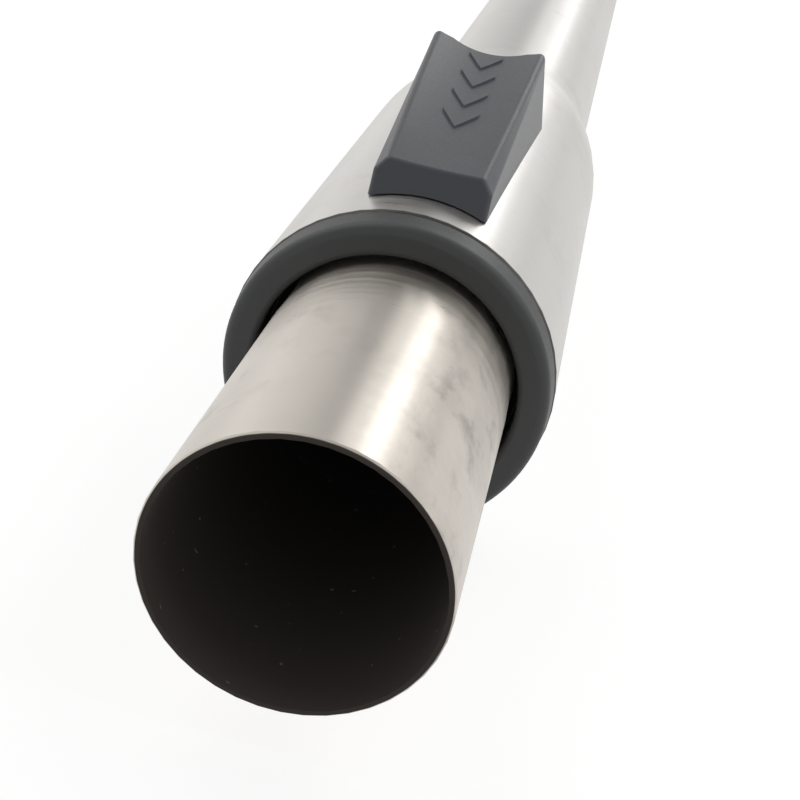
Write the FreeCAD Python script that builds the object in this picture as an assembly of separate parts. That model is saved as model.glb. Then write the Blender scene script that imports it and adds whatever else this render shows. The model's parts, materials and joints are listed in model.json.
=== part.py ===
"""Telescopic vacuum wand with a slide button lock, shown pushed in, lying with its button up.

Millimetres. The tubes lie along Y with the open mouth towards -Y. Places along the wand are given as
s, the distance behind the mouth, and heights as h, the distance above the tubes' axis.
"""
import FreeCAD
import Part

import math
import os

# Steel tubes
spigot_radius = 17.5            # sized front end of the inner tube, which takes a 35 mm floor tool
sizing_step = 0.1               # from the sized end down to the rest of the inner tube
sizing_taper = 1.0
inner_wall = 0.8
tube_room = 1.5                 # from the spigot's surface out to the outer tube's
outer_wall = 0.8
lock_room = 5.9                 # from the spigot's surface out to the widened front's, which houses the lock
bulge_length = 92.0
neck_length = 40.0
spigot_length = 50.0            # bare inner tube in front of the collar
mouth_round = 0.25
socket_length = 46.0            # sized rear end, which takes a 35 mm hose handle
socket_clearance = 0.15
swage_length = 4.0
end_room = 2.0                  # between the inner tube's rear end and the sized end

# Lock notches and anti-turn groove pressed into the inner tube
notch_pitch = 28.0
notch_steps = 12
notch_depth = 1.6
notch_radius = 2.6
groove_radius = 2.0
groove_depth = 1.2
groove_lead = 12.0              # plain tube between the collar's face and the groove's front end

# Front collar and its seal
collar_band = 4.8
collar_gap = 1.0                # around the spigot
collar_step = 0.2               # from the bulge's surface down to the band's rear edge
collar_taper = 0.4              # from the band's rear edge down to its front
collar_round = 1.5
collar_lip = 0.8
collar_relief = 0.35            # bevel that leaves a shadow line in front of the steel's edge
skirt_length = 11.0
seal_setback = 8.0
seal_length = 4.2
seal_depth = 2.1
seal_lip = 1.4
seat_gap = 0.1
fit_gap = 0.1                   # moulded pieces inside the bulge
slide_gap = 0.2                 # moulded pieces around the inner tube

# Guide shells in the bulge
shell_wall = 1.5
shell_rib = 2.4
shell_ribs = 5
shell_split = 0.1
guide_seal_length = 3.0
neck_room = 0.8                 # between the rear seal and the start of the neck
pocket_half = 8.4
pocket_wall = 1.6
pocket_length = 57.0
key_length = 22.0
key_gap = 0.3
key_setback = 30.0

# Guide bush on the inner tube's rear end
bush_length = 14.0
bush_gap = 0.05
bush_slide_gap = 0.15
bush_split = 0.4
bush_inset = 1.0
stop_gap = 0.5
peg_radius = 2.4
peg_gap = 0.1

# Slide button
button_setback = 6.2            # from the bulge's front edge to the button's front
button_length = 61.0
button_travel = 6.0
button_wall = 1.8
button_gap = 0.25
button_round = 0.9
front_half = 8.4
front_top_half = 6.8
front_rise = 4.1
front_bevel = 2.0
front_lean = 2.0
rear_half = 11.3
rear_top_half = 9.3
rear_rise = 12.4
rear_bevel = 1.5
rear_lean = 11.0
top_dish = 1.9
front_dish = 0.15
thumb_radius = 13.0
thumb_depth = 1.6
chevrons = 4
chevron_start = 17.0
chevron_pitch = 8.25
chevron_half = 2.7
chevron_reach = 5.4
chevron_width = 1.3
chevron_height = 0.35
chevron_sink = 0.6

# Lock slider under the button
slider_thick = 1.1
slider_gap = 0.3
slider_half = 8.0
slider_setback = 19.0           # from the button's front to the slider's front
slider_foot = 6.0
slider_tail = 8.0
window_half = 5.4
window_corner = 2.0
window_room = 0.9
stem_half = 4.6
stem_length = 4.0
bridge_rise = 0.8               # of the bridge's underside above the bulge
bridge_thick = 1.4
wedge_length = 3.0
wedge_gap = 0.2
lug_reach = 1.2                 # of the lug below the spring's axis
lug_thick = 1.5

# Pawl, its pin and springs
pawl_half = 4.3
pawl_arm = 12.0                 # from the pawl's nose to its pin
pawl_tail = 10.0
pawl_lift = 0.15                # turn of the pawl in radians at the end of the button's travel
pin_rise = 2.2                  # of the pin's axis above the inner tube
pin_radius = 1.0
pin_end_room = 1.0
pin_gap = 0.05
boss_radius = 1.8
nose_radius = 1.8
nose_gap = 0.3
arm_rise = 1.5                  # of the arm's underside above the inner tube
arm_thick = 1.7
tail_rise = 2.0
tail_thick = 1.6
tail_tip_thick = 0.5
tail_flat = 2.0
ear_gap = 0.9
ear_half_length = 3.0
ear_height = 1.6
leaf_thick = 0.3
leaf_half = 3.0
leaf_gap = 0.02
leaf_foot = 3.0
spring_radius = 1.5
spring_wire = 0.25
spring_turns = 6
spring_x = 6.4
spring_room = 0.6               # between a coil and the bulge
spring_pin_radius = 0.8
spring_pin_room = 0.5           # between a spring's pin and the slider, pushed

# Places along the wand
travel = notch_pitch * notch_steps
s_collar = spigot_length
s_sized = s_collar - sizing_taper
s_steel = s_collar + collar_band
s_neck = s_steel + bulge_length
s_tube = s_neck + neck_length
s_shell = s_steel + skirt_length + seat_gap
s_guide_seal = s_neck - neck_room - guide_seal_length
s_shell_end = s_guide_seal - seat_gap
s_bush = s_guide_seal + guide_seal_length + stop_gap + travel
s_inner_end = s_bush + bush_length + bush_inset
s_swage = s_inner_end + end_room
s_socket = s_swage + swage_length
s_rear = s_socket + socket_length
s_button = s_steel + button_setback
s_button_end = s_button + button_length
s_pocket = s_shell + pocket_wall
s_slider = s_button + slider_setback
s_nose = s_slider + slider_foot + nose_radius + 2 * nose_gap
s_pin = s_nose + pawl_arm
s_tail = s_pin + pawl_tail
s_wedge = s_tail - nose_gap
s_slider_end = s_wedge + slider_tail
s_rear_stem = s_wedge + wedge_length - stem_length
s_window = s_slider - button_travel - window_room
s_window_end = s_wedge + wedge_length + window_room

# Radii and heights
tube_radius = spigot_radius - sizing_step
outer_radius = spigot_radius + tube_room
bulge_radius = spigot_radius + lock_room
inner_bore = tube_radius - inner_wall
bulge_bore = bulge_radius - outer_wall
moulding_radius = bulge_bore - fit_gap
collar_hole_radius = spigot_radius + collar_gap
collar_band_radius = bulge_radius - collar_step
collar_front_radius = collar_band_radius - collar_taper
guide_bore = tube_radius + slide_gap
socket_bore = spigot_radius + socket_clearance
slider_radius = bulge_bore - slider_gap
slider_bore = slider_radius - slider_thick
notch_height = tube_radius - notch_depth + notch_radius
groove_height = -(tube_radius - groove_depth + groove_radius)
pin_height = tube_radius + pin_rise
pin_half = math.sqrt(moulding_radius ** 2 - (pin_height + pin_radius) ** 2) - pin_end_room
arm_low = tube_radius + arm_rise
arm_high = arm_low + arm_thick
tail_low = tube_radius + tail_rise
tail_high = tail_low + tail_thick
spring_height = math.sqrt((bulge_bore - spring_radius - spring_room) ** 2 - spring_x ** 2)
far = 2 * bulge_radius

MOUTH_Y = -s_rear / 2
AXIS_Z = bulge_radius
ALONG = FreeCAD.Vector(0, 1, 0)
ACROSS = FreeCAD.Vector(1, 0, 0)


def at(x, s, h):
    """Point at x across, s behind the mouth and h above the tubes' axis."""
    return FreeCAD.Vector(x, MOUTH_Y + s, AXIS_Z + h)


def box(half, s0, s1, h0, h1):
    """Block centred across the wand."""
    return Part.makeBox(2 * half, s1 - s0, h1 - h0, at(-half, s0, h0))


def side_box(x0, x1, s0, s1, h0, h1):
    """Block between two places across the wand."""
    return Part.makeBox(x1 - x0, s1 - s0, h1 - h0, at(x0, s0, h0))


def rod(radius, s0, s1, x=0.0, h=0.0):
    """Round bar along the wand."""
    return Part.makeCylinder(radius, s1 - s0, at(x, s0, h), ALONG)


def crossbar(radius, half, s, h):
    """Round bar across the wand."""
    return Part.makeCylinder(radius, 2 * half, at(-half, s, h), ACROSS)


def ring(inner, outer, s0, s1):
    return rod(outer, s0, s1).cut(rod(inner, s0, s1))


def polyline(corners):
    """Straight edges through (radius, s) corners."""
    points = [at(r, s, 0) for r, s in corners]
    return [Part.LineSegment(a, b).toShape() for a, b in zip(points, points[1:])]


def spun(edges):
    """Solid turned about the tubes' axis from the edges of a closed profile."""
    wire = Part.Wire(Part.__sortEdges__(edges))
    return Part.Face(wire).revolve(at(0, 0, 0), ALONG, 360)


def turned(corners):
    """Solid turned about the tubes' axis from (radius, s) corners."""
    return spun(polyline(corners + corners[:1]))


def side_profile(outline, half):
    """Plate across the wand from a wire drawn in the middle plane."""
    plate = Part.Face(outline).extrude(ACROSS * 2 * half)
    plate.translate(ACROSS * -half)
    return plate


def side_polygon(corners, half):
    """Plate across the wand from (s, h) corners."""
    points = [at(0, s, h) for s, h in corners]
    return side_profile(Part.makePolygon(points + points[:1]), half)


def lies_on(edge, rim):
    """Whether an edge runs along a given rim."""
    span = edge.LastParameter - edge.FirstParameter
    points = [edge.valueAt(edge.FirstParameter + span * share) for share in (0.1, 0.5, 0.9)]
    return all(Part.Vertex(point).distToShape(rim)[0] < seat_gap / 10 for point in points)


def neck_curve(wide, narrow, inset):
    """Two tangent arcs from the bulge to the tube, set in by a wall."""
    drop = wide - narrow
    bend = (drop ** 2 + neck_length ** 2) / (4 * drop)
    sweep = math.asin(neck_length / 2 / bend)
    first, second = bend - inset, bend + inset

    def on_first(angle):
        return at(wide - bend + first * math.cos(angle), s_neck + first * math.sin(angle), 0)

    def on_second(angle):
        return at(narrow + bend - second * math.cos(angle), s_tube - second * math.sin(angle), 0)

    arcs = [Part.Arc(on_first(0), on_first(sweep / 2), on_first(sweep)).toShape()]
    arcs.append(Part.Arc(on_second(sweep), on_second(sweep / 2), on_second(0)).toShape())
    return arcs


def outer_tube():
    """Drawn steel tube with its widened front, necked rear end and button window."""
    edges = neck_curve(bulge_radius, outer_radius, 0) + neck_curve(bulge_radius, outer_radius, outer_wall)
    outside = [(outer_radius, s_tube), (outer_radius, s_swage), (socket_bore + outer_wall, s_socket),
               (socket_bore + outer_wall, s_rear), (socket_bore, s_rear), (socket_bore, s_socket),
               (outer_radius - outer_wall, s_swage), (outer_radius - outer_wall, s_tube)]
    front = [(bulge_radius, s_neck), (bulge_radius, s_steel + mouth_round), (bulge_radius - mouth_round, s_steel),
             (bulge_bore, s_steel), (bulge_bore, s_neck)]
    tube = spun(edges + polyline(outside) + polyline(front))
    window = box(window_half, s_window, s_window_end, tube_radius, far)
    upright = [e for e in window.Edges if abs(e.tangentAt(e.FirstParameter).z) > 0.9]
    return tube.cut(window.makeFillet(window_corner, upright))


def inner_tube():
    """Steel tube with a sized front end, a row of lock notches on top and an anti-turn groove below."""
    sized_bore = inner_bore + sizing_step
    body = turned([(0, 0), (spigot_radius - mouth_round, 0), (spigot_radius, mouth_round), (spigot_radius, s_sized),
                   (tube_radius, s_collar), (tube_radius, s_inner_end), (0, s_inner_end)])
    hollow = turned([(0, 0), (sized_bore, 0), (sized_bore, s_sized), (inner_bore, s_collar),
                     (inner_bore, s_inner_end), (0, s_inner_end)])
    for step in range(notch_steps + 1):
        s = s_nose + step * notch_pitch
        body = body.cut(crossbar(notch_radius, spigot_radius, s, notch_height))
        hollow = hollow.cut(crossbar(notch_radius + inner_wall, spigot_radius, s, notch_height))
    front, rear = s_collar + groove_lead, s_bush - bush_inset
    body = body.cut(rod(groove_radius, front, rear, h=groove_height))
    hollow = hollow.cut(rod(groove_radius + inner_wall, front - inner_wall, rear + inner_wall, h=groove_height))
    holes = crossbar(peg_radius + peg_gap, far, s_bush + bush_length / 2, 0)
    return body.cut(hollow).cut(holes)


def rear_bush(side):
    """Half of the split guide bush, held by a peg in the inner tube."""
    inner, outer = tube_radius + bush_gap, outer_radius - outer_wall - bush_slide_gap
    half = ring(inner, outer, s_bush, s_bush + bush_length)
    near, away = sorted((side * bush_split / 2, side * far))
    half = half.common(side_box(near, away, s_bush, s_bush + bush_length, -far, far))
    peg = Part.makeCylinder(peg_radius, outer - inner_bore, at(side * inner_bore, s_bush + bush_length / 2, 0),
                            ACROSS * side)
    return half.fuse(peg.common(rod(outer, s_bush, s_bush + bush_length))).removeSplitter()


def front_collar():
    """Moulded collar with a skirt in the bulge and a groove for the seal."""
    s_seal = s_collar + seal_setback
    s_skirt = s_steel + skirt_length
    deep = collar_hole_radius + seal_depth
    collar = turned([(collar_hole_radius, s_collar), (collar_front_radius, s_collar),
                     (collar_band_radius, s_steel - collar_relief), (collar_band_radius - collar_relief, s_steel),
                     (moulding_radius, s_steel), (moulding_radius, s_skirt), (collar_hole_radius, s_skirt),
                     (collar_hole_radius, s_seal + seal_length), (deep, s_seal + seal_length), (deep, s_seal),
                     (collar_hole_radius, s_seal)])
    for radius, roundness in ((collar_front_radius, collar_round), (collar_hole_radius, collar_lip)):
        rim = Part.makeCircle(radius, at(0, s_collar, 0), ALONG)
        collar = collar.makeFillet(roundness, [e for e in collar.Edges if lies_on(e, rim)])
    return collar


def wiper_seal():
    """Rubber ring in the collar whose lip wipes the inner tube."""
    s0 = s_collar + seal_setback + seat_gap
    s1 = s0 + seal_length - 2 * seat_gap
    base = collar_hole_radius + seal_depth - seat_gap
    lip = tube_radius + slide_gap / 2
    return turned([(base, s0), (base, s1), (collar_hole_radius - slide_gap, s1), (lip, s0 + seal_lip),
                   (lip, s0 + seal_lip / 2), (collar_hole_radius - slide_gap, s0)])


def guide_sleeve():
    """Ribbed sleeve around the inner tube, before it is split into two shells."""
    wall = guide_bore + shell_wall
    sleeve = ring(guide_bore, wall, s_shell, s_shell_end)
    step = (s_shell_end - s_shell - shell_rib) / (shell_ribs - 1)
    for index in range(shell_ribs):
        s = s_shell + index * step
        sleeve = sleeve.fuse(ring(guide_bore, moulding_radius, s, s + shell_rib))
    return sleeve


def pawl_ear(side):
    """Ear of the upper shell that holds one end of the pawl's pin."""
    inside, outside = pawl_half + ear_gap, pocket_half + pocket_wall / 2
    low, high = sorted((side * inside, side * outside))
    return side_box(low, high, s_pin - ear_half_length, s_pin + ear_half_length, 0, pin_height + ear_height)


def guide_shell_upper():
    """Upper shell, with the pocket for the slider and ears for the pawl's pin."""
    band = ring(guide_bore, moulding_radius, s_shell, s_shell_end)
    s_pocket_end = s_pocket + pocket_length
    cheeks = band.common(box(pocket_half + pocket_wall, s_shell, s_pocket_end + pocket_wall, 0, far))
    shell = guide_sleeve().fuse(cheeks).cut(box(pocket_half, s_pocket, s_pocket_end, 0, far))
    for side in (-1, 1):
        ear = pawl_ear(side).common(band)
        shell = shell.fuse(ear)
        shell = shell.cut(rod(spring_pin_radius, s_shell, s_pocket, side * spring_x, spring_height))
    shell = shell.cut(crossbar(pin_radius, pin_half, s_pin, pin_height))
    return shell.common(box(far, s_shell, s_shell_end, shell_split / 2, far)).removeSplitter()


def key_place():
    """Front and rear of the anti-turn key."""
    s0 = s_shell + key_setback
    return s0, s0 + key_length


def guide_shell_lower():
    """Lower shell, with a pocket for the anti-turn key."""
    s0, s1 = key_place()
    shell = guide_sleeve().fuse(ring(guide_bore, moulding_radius, s0 - pocket_wall, s1 + pocket_wall).common(
        box(groove_radius + 2 * pocket_wall, s0 - pocket_wall, s1 + pocket_wall, -far, 0)))
    shell = shell.cut(box(groove_radius, s0, s1, -far, 0).common(rod(bulge_bore - pocket_wall, s0, s1)))
    return shell.common(box(far, s_shell, s_shell_end, -far, -shell_split / 2)).removeSplitter()


def guide_key():
    """Key in the lower shell that runs in the inner tube's groove."""
    s0, s1 = key_place()
    foot = box(groove_radius, s0, s1, -far, -guide_bore).common(rod(bulge_bore - pocket_wall, s0, s1))
    tongue = rod(groove_radius - key_gap, s0, s1, h=groove_height)
    return foot.fuse(tongue.cut(box(far, s0, s1, -far, groove_height))).removeSplitter()


def guide_seal():
    return ring(tube_radius + slide_gap / 2, moulding_radius, s_guide_seal, s_guide_seal + guide_seal_length)


def button_block(inset):
    """Wedge of the button, from its front section to its rear one, set in by a wall."""
    foot_h = guide_bore
    front_low = math.sqrt(bulge_radius ** 2 - front_half ** 2)
    rear_low = math.sqrt(bulge_radius ** 2 - rear_half ** 2)

    def section(s_foot, lean, low, half, top_half, rise, bevel, dish):
        top = bulge_radius + rise - inset
        slope = lean / (bulge_radius + rise - low)
        splay = (half - top_half) / (top - low) if half > front_half else 0.0
        shoulder = top - bevel

        def corner(x, h):
            return at(x, s_foot + slope * (h - low), h)

        wide = half - splay * (shoulder - low) - inset
        foot = half - splay * (foot_h - low) - inset
        crown = min(top_half - inset, wide)
        left = [corner(-foot, foot_h), corner(-wide, shoulder), corner(-crown, top)]
        right = [corner(crown, top), corner(wide, shoulder), corner(foot, foot_h)]
        lines = [(left[0], left[1]), (left[1], left[2]), (right[0], right[1]), (right[1], right[2]),
                 (right[2], left[0])]
        edges = [Part.LineSegment(a, b).toShape() for a, b in lines]
        edges.insert(2, Part.Arc(left[2], corner(0, top - dish), right[0]).toShape())
        return Part.Wire(edges)

    front = section(s_button + inset, front_lean, front_low, front_half, front_top_half, front_rise,
                    front_bevel, front_dish)
    rear = section(s_button_end - inset, -rear_lean, rear_low, rear_half, rear_top_half, rear_rise,
                   rear_bevel, top_dish)
    return Part.makeLoft([front, rear], True, True)


def chevron(index):
    """Raised V on the button's ramp that points at the mouth."""
    apex = s_button + chevron_start + index * chevron_pitch
    end = apex + chevron_reach
    points = [(0, apex), (chevron_half, end), (chevron_half, end + chevron_width), (0, apex + chevron_width),
              (-chevron_half, end + chevron_width), (-chevron_half, end)]
    wire = Part.makePolygon([at(x, s, 0) for x, s in points + points[:1]])
    return Part.Face(wire).extrude(FreeCAD.Vector(0, 0, far))


def thumb_scoop(grown):
    """Round bar along the button's sloping rear face that hollows it for the thumb."""
    foot_h = math.sqrt(bulge_radius ** 2 - rear_half ** 2)
    rise = bulge_radius + rear_rise - foot_h
    slope = FreeCAD.Vector(0, -rear_lean, rise)
    setback = (thumb_radius - thumb_depth) * slope.Length / rise
    return Part.makeCylinder(thumb_radius + grown, 2 * far, at(0, s_button_end + setback, foot_h) - slope, slope)


def rounded_block():
    """The button's wedge with its edges rounded, except at the foot and where the thumb scoop cuts it."""
    block = button_block(0)
    foot, middle = at(0, 0, guide_bore).z, at(0, (s_button + s_button_end) / 2, 0).y
    ridge = [e for e in block.Edges if e.BoundBox.YMin > middle and e.BoundBox.XMin * e.BoundBox.XMax < 0]
    sharp = [e for e in block.Edges if e.BoundBox.ZMax > foot + seat_gap and not any(e.isSame(r) for r in ridge)]
    return block.makeFillet(button_round, sharp)


def slide_button():
    """Hollow thumb button with chevrons, a dished ramp and a scooped rear edge."""
    outside = button_block(0)
    hollow = button_block(button_wall).cut(thumb_scoop(button_wall))
    body = rounded_block().cut(thumb_scoop(0)).cut(hollow)
    lifted = outside.copy()
    lifted.translate(FreeCAD.Vector(0, 0, chevron_height))
    sunk = outside.copy()
    sunk.translate(FreeCAD.Vector(0, 0, -chevron_sink))
    skin = lifted.cut(sunk)
    for index in range(chevrons):
        body = body.fuse(chevron(index).common(skin))
    return body.cut(rod(bulge_radius + button_gap, s_button - far, s_button_end + far)).removeSplitter()


def wedge_height():
    """Height of the wedge's underside, which the turned pawl's tail just clears."""
    rise, run = tail_high - pin_height, boss_radius + tail_flat
    return pin_height + rise * math.cos(pawl_lift) - run * math.sin(pawl_lift) + wedge_gap


def lock_slider():
    """Two curved feet under the bulge, joined through the window by a bridge that carries the button."""
    feet = ring(slider_bore, slider_radius, s_slider, s_slider_end)
    front = box(slider_half, s_slider, s_slider + slider_foot, 0, far)
    rear = box(slider_half, s_wedge, s_slider_end, 0, far)
    slider = feet.common(front.fuse(rear))
    room = button_block(button_wall + seat_gap).cut(thumb_scoop(button_wall + seat_gap))
    for s in (s_slider, s_rear_stem):
        stem = box(stem_half, s, s + stem_length, slider_bore, far)
        slider = slider.fuse(stem.common(room))
    bridge_low = bulge_radius + bridge_rise
    bridge = box(stem_half, s_slider, s_rear_stem + stem_length, bridge_low, bridge_low + bridge_thick)
    wedge = box(stem_half, s_wedge, s_wedge + wedge_length, wedge_height(), slider_bore + slider_thick / 2)
    slider = slider.fuse([bridge.common(room), wedge])
    for side in (-1, 1):
        low, high = sorted((side * stem_half, side * slider_half))
        lug = side_box(low, high, s_slider, s_slider + lug_thick, spring_height - lug_reach, far)
        slider = slider.fuse(lug.common(rod(slider_radius, s_slider, s_slider + lug_thick)))
    return slider.removeSplitter()


def lock_pawl():
    """Two-armed pawl: a nose that drops into a notch and a tail that the wedge presses down."""
    nose_low = tube_radius - notch_depth + nose_gap
    front = s_nose - nose_radius
    arm = side_polygon([(front, nose_low + nose_radius), (s_nose + nose_radius, nose_low + nose_radius),
                        (s_nose + nose_radius, arm_low), (s_pin, arm_low), (s_pin, arm_high), (front, arm_high)],
                       pawl_half)
    tail = side_polygon([(s_pin, arm_low), (s_tail, tail_low), (s_tail, tail_low + tail_tip_thick),
                         (s_pin + boss_radius + tail_flat, tail_high), (s_pin, tail_high)], pawl_half)
    nose = crossbar(nose_radius, pawl_half, s_nose, nose_low + nose_radius)
    boss = crossbar(boss_radius, pawl_half, s_pin, pin_height)
    bore = crossbar(pin_radius + pin_gap, far, s_pin, pin_height)
    return arm.fuse([tail, nose, boss]).cut(bore).removeSplitter()


def pawl_pin():
    return crossbar(pin_radius, pin_half, s_pin, pin_height)


def pawl_spring():
    """Leaf spring from the pocket's front wall to the top of the pawl's nose."""
    low = arm_high + leaf_gap
    return box(leaf_half, s_pocket, s_nose, low, low + leaf_thick).fuse(
        box(leaf_half, s_pocket, s_pocket + leaf_thick, low - leaf_foot, low)).removeSplitter()


def return_spring(side):
    """Coil spring between the pocket's front wall and the slider."""
    length = s_slider - s_pocket - 2 * (spring_wire + seat_gap)
    coil = spring_radius - spring_wire
    helix = Part.makeHelix(length / spring_turns, length, coil)
    section = Part.Wire(Part.makeCircle(spring_wire, FreeCAD.Vector(coil, 0, 0), ALONG))
    spring = Part.Wire(helix).makePipeShell([section], True, True)
    spring.rotate(FreeCAD.Vector(0, 0, 0), ACROSS, -90)
    spring.translate(at(side * spring_x, s_pocket + spring_wire + seat_gap, spring_height))
    return spring


def spring_pin(side):
    end = s_slider - button_travel - spring_pin_room
    return rod(spring_pin_radius, s_shell, end, side * spring_x, spring_height)


NODES = {
    "outer_tube": outer_tube(),
    "inner_tube": inner_tube(),
    "front_collar": front_collar(),
    "wiper_seal": wiper_seal(),
    "guide_shell_upper": guide_shell_upper(),
    "guide_shell_lower": guide_shell_lower(),
    "guide_key": guide_key(),
    "guide_seal": guide_seal(),
    "rear_bush_left": rear_bush(-1),
    "rear_bush_right": rear_bush(1),
    "slide_button": slide_button(),
    "lock_slider": lock_slider(),
    "lock_pawl": lock_pawl(),
    "pawl_pin": pawl_pin(),
    "pawl_spring": pawl_spring(),
    "return_spring_left": return_spring(-1),
    "return_spring_right": return_spring(1),
    "spring_pin_left": spring_pin(-1),
    "spring_pin_right": spring_pin(1),
}

os.makedirs("parts", exist_ok=True)
for name, shape in NODES.items():
    print(name, "valid", shape.isValid(), "solids", len(shape.Solids), "volume", round(shape.Volume, 1))
    shape.exportStep(os.path.join("parts", name + ".step"))
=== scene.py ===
"""Dresses the telescopic vacuum wand: satin steel tubes, dark collar, grey slide button, studio and camera.

Metres. The tubes lie along Y with the open mouth towards -Y and the button on top.
"""
import json
import math

import bpy
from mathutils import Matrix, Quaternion, Vector


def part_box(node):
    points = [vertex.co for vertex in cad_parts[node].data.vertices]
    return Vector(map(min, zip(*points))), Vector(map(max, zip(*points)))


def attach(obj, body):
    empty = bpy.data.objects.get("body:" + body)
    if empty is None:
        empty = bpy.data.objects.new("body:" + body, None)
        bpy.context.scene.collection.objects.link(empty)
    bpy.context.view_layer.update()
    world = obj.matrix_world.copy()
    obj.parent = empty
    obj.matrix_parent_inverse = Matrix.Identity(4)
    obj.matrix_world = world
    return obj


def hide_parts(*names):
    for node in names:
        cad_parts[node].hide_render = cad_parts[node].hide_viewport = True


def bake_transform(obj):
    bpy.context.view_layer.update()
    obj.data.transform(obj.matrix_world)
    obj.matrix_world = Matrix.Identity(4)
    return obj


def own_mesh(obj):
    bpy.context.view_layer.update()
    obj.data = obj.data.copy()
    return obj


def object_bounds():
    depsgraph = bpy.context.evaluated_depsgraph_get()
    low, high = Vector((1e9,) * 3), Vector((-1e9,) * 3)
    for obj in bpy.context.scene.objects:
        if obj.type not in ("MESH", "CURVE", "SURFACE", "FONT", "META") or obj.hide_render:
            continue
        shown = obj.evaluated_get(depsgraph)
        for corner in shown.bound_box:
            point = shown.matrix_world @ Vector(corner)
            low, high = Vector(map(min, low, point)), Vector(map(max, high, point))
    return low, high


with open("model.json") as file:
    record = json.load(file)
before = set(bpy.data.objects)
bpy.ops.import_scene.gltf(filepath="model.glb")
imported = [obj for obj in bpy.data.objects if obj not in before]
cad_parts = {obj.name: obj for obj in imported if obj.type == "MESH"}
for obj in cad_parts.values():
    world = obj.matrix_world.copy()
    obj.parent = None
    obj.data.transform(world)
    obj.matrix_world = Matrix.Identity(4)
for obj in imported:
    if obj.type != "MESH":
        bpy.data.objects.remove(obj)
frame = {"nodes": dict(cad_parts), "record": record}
cad_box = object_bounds()

MM = 0.001
WHITE = (1, 1, 1, 1)

# The wand's own lines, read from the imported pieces
spigot_low, spigot_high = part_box("inner_tube")
mouth_y = spigot_low.y
axis_z = (spigot_low.z + spigot_high.z) / 2
spigot_radius = (spigot_high.x - spigot_low.x) / 2
steel_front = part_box("outer_tube")[0].y
button_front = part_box("slide_button")[0].y

# Colours of the tube steel
inner_steel = (0.590, 0.548, 0.494, 1)
outer_steel = (0.572, 0.560, 0.538, 1)
smudged_steel = (0.525, 0.487, 0.440, 1)
stained_steel = (0.375, 0.347, 0.315, 1)
# painted shade: the dark line along the outer tube's front edge, where the collar meets it
seam_painted_shade = (0.090, 0.085, 0.078, 1)
dust_film = (0.100, 0.088, 0.080, 1)
dust_speck = (0.300, 0.270, 0.235, 1)

# Where the tube steel's finishes lie
dust_depth = 0.22 * MM          # of the dusty inside below the spigot's surface
dust_fade = 0.04 * MM           # to either side of that depth
outer_rise = 0.2 * MM           # of the outer tube's finish above the spigot's surface
outer_fade = 0.4 * MM
seam_width = 0.2 * MM           # of the painted shade line along the outer tube's front edge, where the collar meets it
seam_fade = 0.3 * MM
flank_start = 0.30              # share of the spigot's radius at which handling begins to show
flank_full = 0.60
least_handled = 0.15            # share of the smudges on the rest of the steel

# Gloss of the tube steel
steel_gloss = 0.27              # least roughness in the brushed grain
steel_satin = 0.34              # most
smudge_satin = 0.06             # added by a smudge
brushing = 0.85
brushing_turn = 0.25            # of a full turn
steel_specular = 0.1

# Wire, pins and pawl
bright_wire = (0.50, 0.50, 0.49, 1)
dull_wire = (0.42, 0.42, 0.41, 1)
wire_gloss = 0.26
wire_satin = 0.38

# Moulded plastic and rubber
noise_low = 0.3                 # most of a noise lies between these
noise_high = 0.7
plastic_cloud = 90
satin_spread = 0.05
grain_strength = 0.25
# Where the button's painted light lies: behind this line, on walls whose normals face the mouth
relief_start = 10 * MM          # from the button's front, ahead of its chevrons
relief_fade = 1 * MM
wall_full = -0.6                # Y of the normal on a relief wall that faces the mouth
wall_none = -0.3
button_sheen = 0.4
button_sheen_satin = 0.3

# Springs
merge_gap = 0.001 * MM
smooth_angle = math.radians(35)
leaf_cuts = 8
bend_lead = 4.6 * MM            # from the leaf's bend to the pawl's nose
bend_gap = 0.3 * MM

# Camera
eye_across = 17.78 * MM
eye_before_mouth = 120.02 * MM
eye_above_axis = 84.39 * MM
aim_across = 3.10 * MM
aim_behind_mouth = 47.00 * MM
camera_roll = math.radians(11.82)
lens_mm = 62.78
sensor_mm = 36
near_clip = 5 * MM

# Studio
floor_size = 6.0
floor_gap = 0.2 * MM            # below the wand
floor_white = 0.40
floor_roughness = 0.9
floor_specular = 0.1
floor_glow = 0.76
horizon_level = 1.0
zenith_level = 0.66
horizon_top = math.radians(12)
zenith_start = math.radians(34)
ambient_level = 0.32


def put(socket, value):
    """Links a node's output to a socket, or sets the socket to a plain value."""
    if isinstance(value, bpy.types.NodeSocket):
        socket.id_data.links.new(value, socket)
    else:
        socket.default_value = value


def fill(node, *values):
    """Gives a node its inputs in their order."""
    for socket, value in zip(node.inputs, values):
        put(socket, value)
    return node


def adder(tree):
    """Function that adds a node to the tree with its settings, and its inputs by name."""
    def add(kind, settings=None, **inputs):
        node = tree.nodes.new("ShaderNode" + kind)
        for key, value in (settings or {}).items():
            setattr(node, key, value)
        for key, value in inputs.items():
            put(node.inputs[key.replace("_", " ")], value)
        return node

    return add


def new_material(name):
    """Material, the inputs of its shader, and the function that adds nodes to it."""
    material = bpy.data.materials.new(name)
    material.use_nodes = True
    tree = material.node_tree
    return material, tree.nodes["Principled BSDF"].inputs, adder(tree)


def maths(add, operation, *values):
    """Result of one step of arithmetic."""
    return fill(add("Math", {"operation": operation}), *values).outputs[0]


def between(add, value, low, high, to_low=0.0, to_high=1.0, ease="LINEAR"):
    """Value moved from one range to another and held there."""
    moved = add("MapRange", {"interpolation_type": ease}, Value=value,
                From_Min=low, From_Max=high, To_Min=to_low, To_Max=to_high)
    return moved.outputs["Result"]


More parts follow.
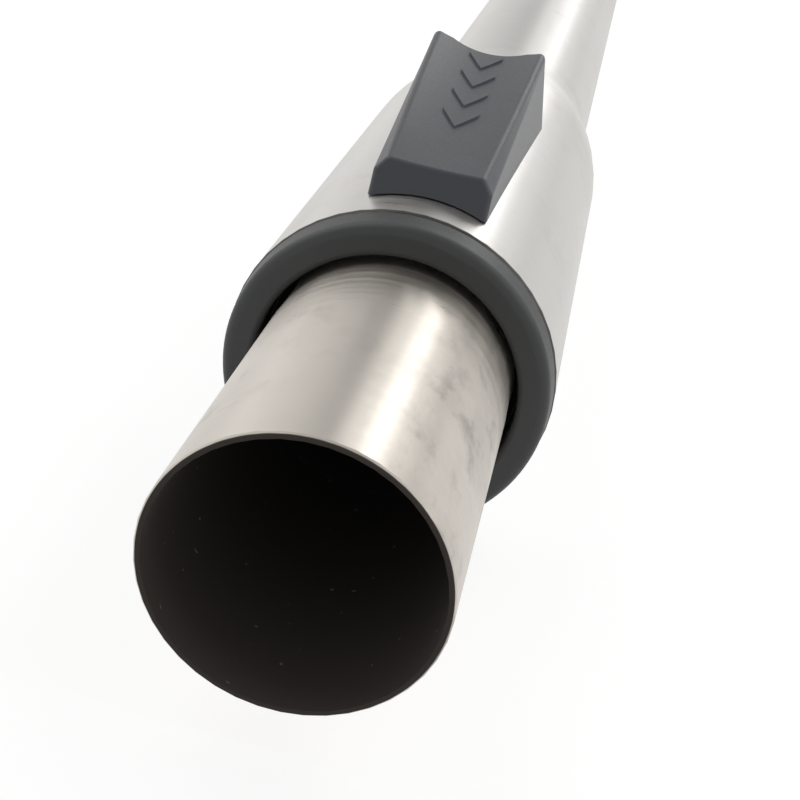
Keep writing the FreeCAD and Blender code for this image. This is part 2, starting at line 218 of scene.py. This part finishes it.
def blend_colours(add, amount, first, second):
    """The first colour where the amount is 0, and the second where it is 1."""
    mix = add("Mix", {"data_type": "RGBA"})
    sockets = {socket.identifier: socket for socket in mix.inputs}
    put(sockets["Factor_Float"], amount)
    put(sockets["A_Color"], first)
    put(sockets["B_Color"], second)
    return next(socket for socket in mix.outputs if socket.identifier == "Result_Color")


def tube_place(add):
    """Object coordinates with the tubes' axis as the Y axis."""
    place = add("TexCoord").outputs["Object"]
    return add("Mapping", Vector=place, Location=(0, 0, -axis_z)).outputs["Vector"]


def noise(add, place, scale, stretch=(1, 1, 1), detail=4.0, roughness=0.55):
    """Noise, finer along an axis with a larger stretch value."""
    along = add("Mapping", Vector=place, Scale=stretch).outputs["Vector"]
    return add("TexNoise", Vector=along, Scale=scale, Detail=detail, Roughness=roughness).outputs["Fac"]


def satin_steel():
    """Brushed tube steel, smudged on the spigot's flanks, with painted shade along the collar's seam, and
    dusty inside.
    """
    material, shader, add = new_material("satin_steel")
    place = tube_place(add)
    split = add("SeparateXYZ", Vector=place).outputs
    across, along, up = split["X"], split["Y"], split["Z"]
    squares = maths(add, "ADD", maths(add, "MULTIPLY", across, across), maths(add, "MULTIPLY", up, up))
    radius = maths(add, "SQRT", squares)
    bore_edge = spigot_radius - dust_depth
    dusty = between(add, radius, bore_edge - dust_fade, bore_edge + dust_fade, 1.0, 0.0)
    outer_edge = spigot_radius + outer_rise
    outside = between(add, radius, outer_edge, outer_edge + outer_fade)
    # painted shade along the outer tube's front edge, where the collar meets it
    seam_edge = steel_front + seam_width
    seam = maths(add, "MULTIPLY", outside, between(add, along, seam_edge, seam_edge + seam_fade, 1.0, 0.0))

    on_spigot = between(add, outside, 0.0, 1.0, 1.0, least_handled)
    on_flank = between(add, maths(add, "ABSOLUTE", across), flank_start * spigot_radius,
                       flank_full * spigot_radius, least_handled, 1.0)
    handled = maths(add, "MULTIPLY", on_spigot, on_flank)
    clouds = noise(add, place, scale=75, stretch=(1, 0.55, 1), detail=6, roughness=0.62)
    smudge = maths(add, "MULTIPLY", handled, between(add, clouds, low=0.46, high=0.60))
    blots = noise(add, place, scale=260, stretch=(1, 0.6, 1), detail=5, roughness=0.65)
    stain = maths(add, "MULTIPLY", smudge, between(add, blots, low=0.50, high=0.64))
    specks = between(add, noise(add, place, scale=900, detail=0), low=0.83, high=0.86)

    tone = blend_colours(add, outside, inner_steel, outer_steel)
    tone = blend_colours(add, smudge, tone, smudged_steel)
    tone = blend_colours(add, stain, tone, stained_steel)
    tone = blend_colours(add, seam, tone, seam_painted_shade)
    dust = blend_colours(add, specks, dust_film, dust_speck)
    put(shader["Base Color"], blend_colours(add, dusty, tone, dust))
    put(shader["Metallic"], between(add, dusty, 0.0, 1.0, 1.0, 0.0))
    grain = noise(add, place, scale=1100, stretch=(0.04, 1, 0.04), detail=4, roughness=0.6)
    brushed = between(add, grain, noise_low, noise_high, steel_gloss, steel_satin)
    satin = maths(add, "MULTIPLY_ADD", smudge, smudge_satin, brushed)
    put(shader["Roughness"], maths(add, "MAXIMUM", satin, dusty))
    put(shader["Anisotropic"], brushing)
    put(shader["Anisotropic Rotation"], brushing_turn)
    put(shader["Tangent"], add("Tangent", {"direction_type": "RADIAL", "axis": "Y"}).outputs["Tangent"])
    put(shader["Specular IOR Level"], steel_specular)
    return material


def drawn_steel():
    """Plain bright metal of the springs, pins and pawl."""
    material, shader, add = new_material("lock_steel_plain")
    cloud = between(add, noise(add, tube_place(add), scale=220, detail=3), low=0.35, high=0.65)
    put(shader["Base Color"], blend_colours(add, cloud, bright_wire, dull_wire))
    put(shader["Roughness"], between(add, cloud, 0.0, 1.0, wire_gloss, wire_satin))
    put(shader["Metallic"], 1.0)
    return material


def moulded_plastic(name, colour, shade, satin, grain_scale, grain_depth, painted_wall_light=None):
    """Plastic with a fine grain, a faint cloud of shade and, given a colour for it, painted light on the
    relief walls that face the mouth.
    """
    material, shader, add = new_material(name)
    place = tube_place(add)
    cloud = between(add, noise(add, place, scale=plastic_cloud, detail=3), noise_low, noise_high)
    tone = blend_colours(add, cloud, colour, shade)
    if painted_wall_light:
        # painted light: on the chevrons, the walls that face the mouth, away from the lamps, are made paler
        relief_y = button_front + relief_start
        along = add("SeparateXYZ", Vector=place).outputs["Y"]
        behind = between(add, along, relief_y - relief_fade, relief_y)
        slope = add("SeparateXYZ", Vector=add("NewGeometry").outputs["Normal"]).outputs["Y"]
        facing = between(add, slope, wall_full, wall_none, 1.0, 0.0)
        tone = blend_colours(add, maths(add, "MULTIPLY", behind, facing), tone, painted_wall_light)
    put(shader["Base Color"], tone)
    grain = noise(add, place, scale=grain_scale, detail=2)
    put(shader["Roughness"],
        between(add, grain, noise_low, noise_high, satin - satin_spread, satin + satin_spread))
    relief = add("Bump", Height=grain, Strength=grain_strength, Distance=grain_depth)
    put(shader["Normal"], relief.outputs["Normal"])
    return material


def finishes():
    """One material for each of the record's slots."""
    made = {
        "tube_steel": satin_steel(),
        "collar_plastic": moulded_plastic(
            "collar_plastic_dark", colour=(0.050, 0.052, 0.053, 1), shade=(0.042, 0.044, 0.045, 1),
            satin=0.50, grain_scale=2500, grain_depth=0.02 * MM),
        # grey button, with painted light on its relief walls that face the mouth
        "button_plastic": moulded_plastic(
            "button_plastic_grey", colour=(0.058, 0.061, 0.071, 1), shade=(0.051, 0.054, 0.063, 1),
            satin=0.46, grain_scale=2200, grain_depth=0.03 * MM, painted_wall_light=(0.190, 0.205, 0.265, 1)),
        "guide_plastic": moulded_plastic(
            "guide_acetal", colour=(0.70, 0.70, 0.66, 1), shade=(0.64, 0.64, 0.60, 1),
            satin=0.45, grain_scale=1800, grain_depth=0.01 * MM),
        "seal_rubber": moulded_plastic(
            "seal_rubber_black", colour=(0.020, 0.020, 0.021, 1), shade=(0.028, 0.028, 0.028, 1),
            satin=0.65, grain_scale=1600, grain_depth=0.02 * MM),
        "lock_steel": drawn_steel(),
    }
    button = made["button_plastic"].node_tree.nodes["Principled BSDF"].inputs
    put(button["Sheen Weight"], button_sheen)
    put(button["Sheen Roughness"], button_sheen_satin)
    return made


def dress_nodes(materials):
    """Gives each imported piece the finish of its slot."""
    for subpart in frame["record"]["subparts"]:
        node = frame["nodes"][subpart["node"]]
        node.data.materials.clear()
        node.data.materials.append(materials[subpart["material_slot"]])


def spring_copy(node_name, piece_name):
    """A spring of its own in a CAD spring's place and finish, with its mesh joined so that it can give."""
    bpy.ops.object.select_all(action="DESELECT")
    spring = bpy.data.objects.new(piece_name, frame["nodes"][node_name].data.copy())
    bpy.context.scene.collection.objects.link(spring)
    bpy.context.view_layer.objects.active = spring
    spring.select_set(True)
    bpy.ops.mesh.customdata_custom_splitnormals_clear()
    bpy.ops.object.mode_set(mode="EDIT")
    bpy.ops.mesh.select_all(action="SELECT")
    bpy.ops.mesh.remove_doubles(threshold=merge_gap)
    bpy.ops.object.mode_set(mode="OBJECT")
    bpy.ops.object.shade_smooth_by_angle(angle=smooth_angle)
    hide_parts(node_name)
    return spring


def coil_springs():
    """The button's two return springs, each copied as a piece of its own and hung on the outer tube's body.
    """
    for side in ("left", "right"):
        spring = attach(spring_copy("return_spring_" + side, "coil_spring_" + side), "outer")
        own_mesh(spring)


def leaf_spring():
    """The pawl's leaf spring, which lies straight under the slider's foot, with cuts across it just ahead of
    the pawl's nose.
    """
    nose_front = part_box("lock_pawl")[0].y
    bend_start, bend_end = nose_front - bend_lead, nose_front - bend_gap
    leaf = spring_copy("pawl_spring", "leaf_spring")
    bpy.ops.object.mode_set(mode="EDIT")
    for cut in range(leaf_cuts + 1):
        cut_y = bend_start + (bend_end - bend_start) * cut / leaf_cuts
        bpy.ops.mesh.select_all(action="SELECT")
        bpy.ops.mesh.bisect(plane_co=(0, cut_y, 0), plane_no=(0, 1, 0))
    bpy.ops.object.mode_set(mode="OBJECT")
    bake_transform(leaf)


def seen_rays(add):
    """1 for the rays that see, straight, mirrored or through glass, and 0 for those that carry light."""
    rays = add("LightPath").outputs
    direct = maths(add, "MAXIMUM", rays["Is Camera Ray"], rays["Is Glossy Ray"])
    return maths(add, "MAXIMUM", direct, rays["Is Transmission Ray"])


def white_surround():
    """Pale studio all round: white at the horizon and softer overhead, dimmer as light than to the eye."""
    world = bpy.data.worlds.new("studio")
    bpy.context.scene.world = world
    world.use_nodes = True
    world.node_tree.nodes.clear()
    add = adder(world.node_tree)
    height = add("SeparateXYZ", Vector=add("TexCoord").outputs["Generated"]).outputs["Z"]
    level = between(add, height, math.sin(horizon_top), math.sin(zenith_start),
                    horizon_level, zenith_level, ease="SMOOTHSTEP")
    shown = add("Background", Color=WHITE, Strength=level).outputs["Background"]
    lit = add("Background", Color=WHITE, Strength=ambient_level).outputs["Background"]
    choice = fill(add("MixShader"), seen_rays(add), lit, shown)
    add("OutputWorld", Surface=choice.outputs["Shader"])


def pale_floor():
    """Large white floor that keeps a soft shadow."""
    bpy.ops.object.select_all(action="DESELECT")
    bpy.ops.mesh.primitive_plane_add(size=floor_size, location=(0, 0, cad_box[0].z - floor_gap))
    floor = bpy.context.object
    floor.name = "floor"
    material, shader, add = new_material("floor_white")
    put(shader["Base Color"], (floor_white, floor_white, floor_white, 1))
    put(shader["Roughness"], floor_roughness)
    put(shader["Specular IOR Level"], floor_specular)
    put(shader["Emission Color"], WHITE)
    put(shader["Emission Strength"], maths(add, "MULTIPLY", seen_rays(add), floor_glow))
    floor.data.materials.append(material)


def softbox(name, azimuth, elevation, distance, width, height, watts):
    """Area lamp that faces the collar, at an azimuth in degrees from +Y towards +X and an elevation."""
    a, e = math.radians(azimuth), math.radians(elevation)
    towards = Vector((math.sin(a) * math.cos(e), math.cos(a) * math.cos(e), math.sin(e)))
    lamp = bpy.data.lights.new(name, "AREA")
    lamp.shape = "RECTANGLE"
    lamp.size, lamp.size_y = width, height
    lamp.energy = watts
    holder = bpy.data.objects.new(name, lamp)
    bpy.context.scene.collection.objects.link(holder)
    holder.location = Vector((0, mouth_y + aim_behind_mouth, axis_z)) + towards * distance
    holder.rotation_mode = "QUATERNION"
    holder.rotation_quaternion = (-towards).to_track_quat("-Z", "Y")


def studio_light():
    """Two side lamps, a broad key behind the wand, and a narrow one for the streak along the steel."""
    softbox("left_softbox", azimuth=-68, elevation=46, distance=1.3, width=1.0, height=1.2, watts=4.5)
    softbox("right_softbox", azimuth=85, elevation=42, distance=1.3, width=0.8, height=1.0, watts=3.5)
    softbox("key_softbox", azimuth=19, elevation=36, distance=1.6, width=0.90, height=0.80, watts=2.7)
    softbox("streak_softbox", azimuth=16, elevation=32, distance=1.6, width=0.14, height=0.70, watts=1.1)


def photo_camera():
    """Camera close in front of the mouth, above it and to its right, and rolled."""
    data = bpy.data.cameras.new("photo_camera")
    data.lens = lens_mm
    data.sensor_width = sensor_mm
    data.clip_start = near_clip
    camera = bpy.data.objects.new("photo_camera", data)
    bpy.context.scene.collection.objects.link(camera)
    eye = Vector((eye_across, mouth_y - eye_before_mouth, axis_z + eye_above_axis))
    aim = Vector((aim_across, mouth_y + aim_behind_mouth, axis_z))
    camera.location = eye
    camera.rotation_mode = "QUATERNION"
    camera.rotation_quaternion = (aim - eye).to_track_quat("-Z", "Y") @ Quaternion((0, 0, 1), camera_roll)
    bpy.context.scene.camera = camera


dress_nodes(finishes())
coil_springs()
leaf_spring()
white_surround()
pale_floor()
studio_light()
photo_camera()
bpy.context.scene.view_settings.view_transform = "Standard"
